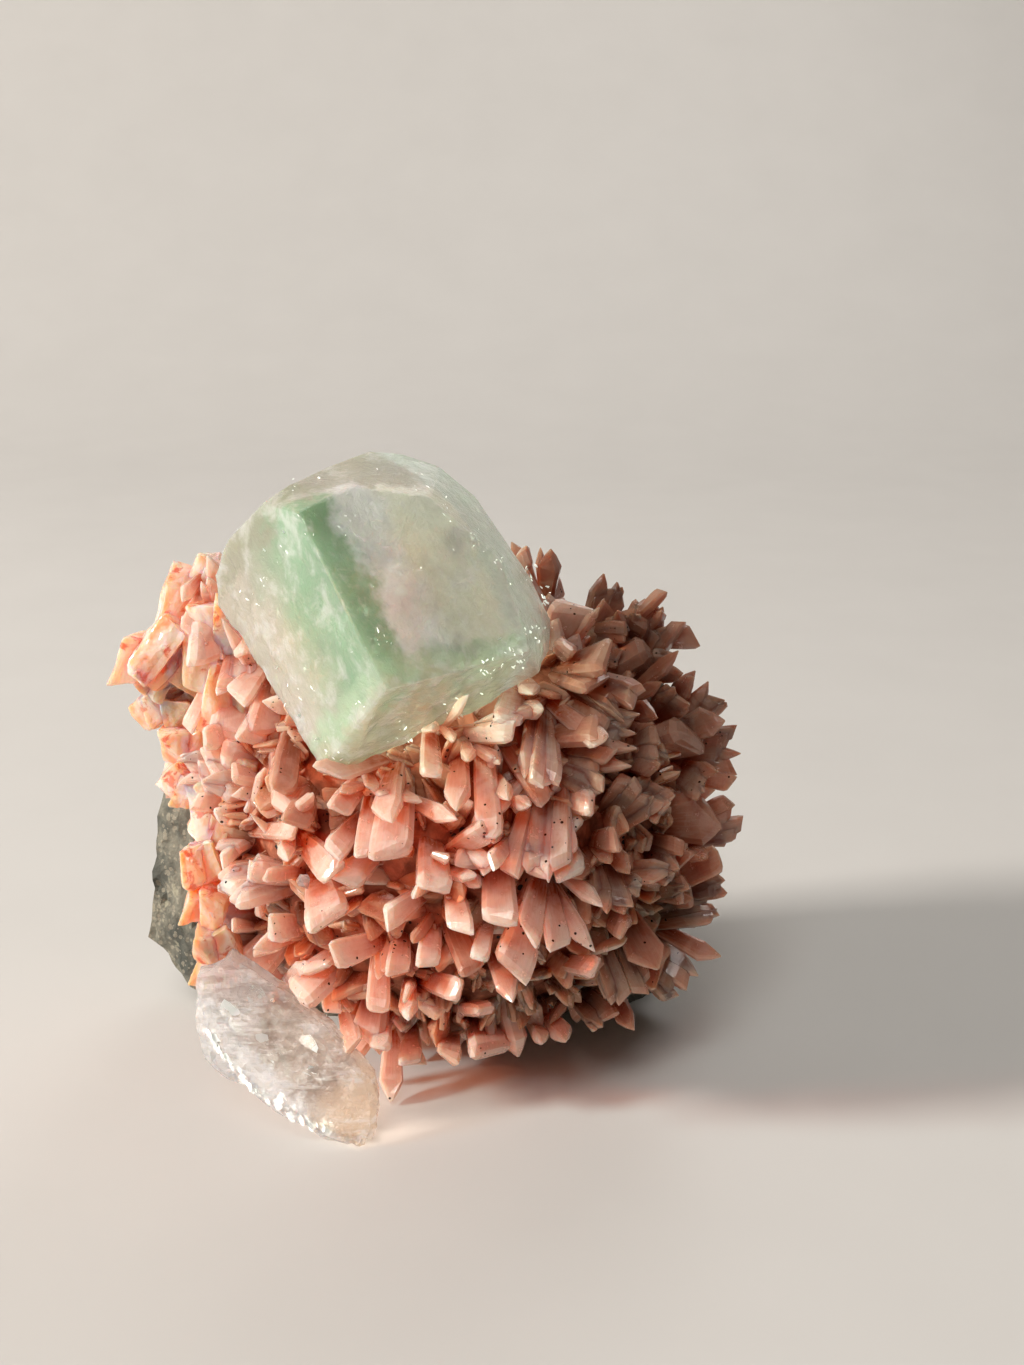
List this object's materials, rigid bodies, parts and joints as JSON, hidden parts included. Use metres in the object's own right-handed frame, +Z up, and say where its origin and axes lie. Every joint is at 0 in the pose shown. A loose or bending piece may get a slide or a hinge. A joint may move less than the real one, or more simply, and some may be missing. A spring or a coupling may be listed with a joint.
{
  "type": "heulandite and apophyllite mineral specimen",
  "caption": "Mineral specimen: a dome of pink heulandite blades on a dark basalt slab, with a clear greenish block crystal on its shoulder and a clear blade at its foot.",
  "frame": {"origin": "on the flat underside of the basalt slab, at its front, under the middle of the heulandite dome", "axes": "+Z up from the surface the specimen rests on, -Y towards the viewer of the crystal face, +X to the viewer's right"},
  "size_m": [0.0684, 0.0515, 0.0687],
  "materials": {
    "basalt": "rough broken rock with small vesicles, dark green-grey",
    "heulandite": "pearly to glassy crystal faces, salmon pink with pale tips, slightly translucent",
    "apophyllite": "see-through glassy crystal with milky and pale green zones and inner fractures",
    "clear_blade": "see-through whitish glassy blade with lengthwise striations"
  },
  "bodies": {
    "root": {"basalt_matrix": "basalt", "heulandite_cluster": "heulandite", "apophyllite_crystal": "apophyllite", "clear_blade_crystal": "clear_blade"}
  },
  "joints": []
}
